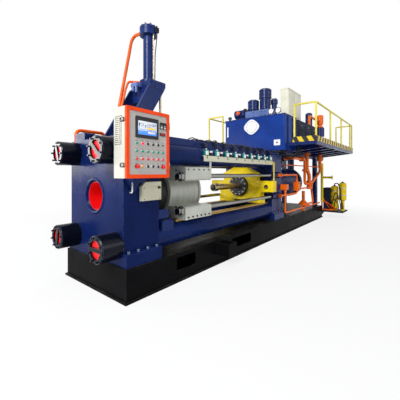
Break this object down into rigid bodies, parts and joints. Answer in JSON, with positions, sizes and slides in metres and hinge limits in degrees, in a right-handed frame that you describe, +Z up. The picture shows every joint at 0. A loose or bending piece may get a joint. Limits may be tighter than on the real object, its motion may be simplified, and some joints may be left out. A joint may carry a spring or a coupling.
{
  "type": "aluminium extrusion press",
  "caption": "Horizontal hydraulic extrusion press with tie rods, sliding container and crosshead, overhead die shear, oil tank, railed platform and control cabinet on a steel base.",
  "frame": {"origin": "on the floor under the middle of the base, on the press centre plane", "axes": "+X along the press from the exit end to the hydraulic end, +Z up, -Y the operator's side"},
  "size_m": [9.255, 3.2, 4.3],
  "materials": {
    "base_black": "gloss black paint",
    "press_blue": "gloss dark blue paint",
    "nut_black": "gloss blue-black paint",
    "liner_red": "red paint",
    "machine_yellow": "gloss yellow paint",
    "rail_yellow": "yellow paint",
    "hazard": "yellow and black slanted stripes",
    "pipe_orange": "gloss orange paint",
    "casting_grey": "light grey paint",
    "ring_dark": "dark scaled steel",
    "machined_steel": "machined",
    "lug_silver": "silver paint",
    "rod_chrome": "polished",
    "way_brass": "worn",
    "cabinet_white": "white powder coat",
    "frame_orange": "orange powder coat",
    "panel_dark": "matt",
    "button_red": "gloss",
    "button_green": "gloss",
    "box_beige": "beige powder coat",
    "switch_teal": "teal paint",
    "enclosure_dark": "dark textured paint",
    "motor_blue": "blue paint",
    "platen_blue": "gloss blue paint"
  },
  "bodies": {
    "press_frame": {"base_plates": "base_black", "base_side_walls": "base_black", "base_cross_walls": "base_black", "front_platen": "platen_blue", "cabinet_bracket": "press_blue", "exit_throat": "liner_red", "die_holder": "machined_steel", "die_guides": "press_blue", "tie_rod_nuts": "nut_black", "tie_rods": "liner_red", "compression_sleeves": "press_blue", "guide_ways": "way_brass", "sensor_duct": "press_blue", "sensor_rail": "box_beige", "limit_switches": "switch_teal", "rear_platen": "press_blue", "main_cylinder": "press_blue", "prefill_valve": "press_blue", "shift_cylinders": "press_blue", "shear_frame": "press_blue", "shear_cylinder": "press_blue", "shear_guide_rods": "machined_steel", "operator_cabinet": "cabinet_white", "side_box": "box_beige", "platform_frame": "press_blue", "tank_shell": "press_blue", "tank_lid": "press_blue", "valve_manifold": "press_blue", "tank_pump": "motor_blue", "tank_valves": "press_blue", "pump_enclosure": "enclosure_dark", "deck_pumps": "motor_blue", "electrical_cabinet": "box_beige", "walkway_deck": "press_blue", "toe_boards": "hazard", "railings": "rail_yellow", "side_valve_blocks": "pipe_orange", "side_oil_pipes": "pipe_orange", "main_oil_pipes": "pipe_orange", "rear_drop_pipe": "machine_yellow", "shear_oil_pipes": "pipe_orange", "rear_cooler": "enclosure_dark", "rear_filters": "machine_yellow"},
    "container": {"container_housing": "casting_grey", "seal_ring": "ring_dark", "container_liner": "machined_steel", "container_lugs": "lug_silver", "shift_rods": "rod_chrome", "container_pointer": "cabinet_white"},
    "crosshead": {"crosshead": "machine_yellow", "stem_clamp": "machined_steel", "stem": "machined_steel", "main_ram": "rod_chrome"},
    "shear": {"shear_slide": "press_blue"},
    "door": {"cabinet_door": "frame_orange", "control_panel": "panel_dark", "panel_buttons": "button_green"},
    "left_stop": {"stop_button_left": "button_red"},
    "right_stop": {"stop_button_right": "button_red"}
  },
  "joints": [
    {"name": "crosshead_slide", "type": "slide", "parent": "press_frame", "child": "crosshead", "axis": [-1, 0, 0], "range_m": [0, 1.91]},
    {"name": "container_slide", "type": "slide", "parent": "press_frame", "child": "container", "axis": [-1, 0, 0], "range_m": [0, 0.17]},
    {"name": "shear_slide", "type": "slide", "parent": "press_frame", "child": "shear", "axis": [0, 0, 1], "range_m": [-0.57, 0]},
    {"name": "cabinet_door_hinge", "type": "hinge", "parent": "press_frame", "child": "door", "pos_m": [-3.574, -0.93, 1.9], "axis": [0, 0, 1], "range_deg": [0, 110]},
    {"name": "left_stop_push", "type": "slide", "parent": "door", "child": "left_stop", "axis": [0, 1, 0], "range_m": [0, 0.005], "stiffness_N_per_m": 800},
    {"name": "right_stop_push", "type": "slide", "parent": "door", "child": "right_stop", "axis": [0, 1, 0], "range_m": [0, 0.005], "stiffness_N_per_m": 800}
  ]
}
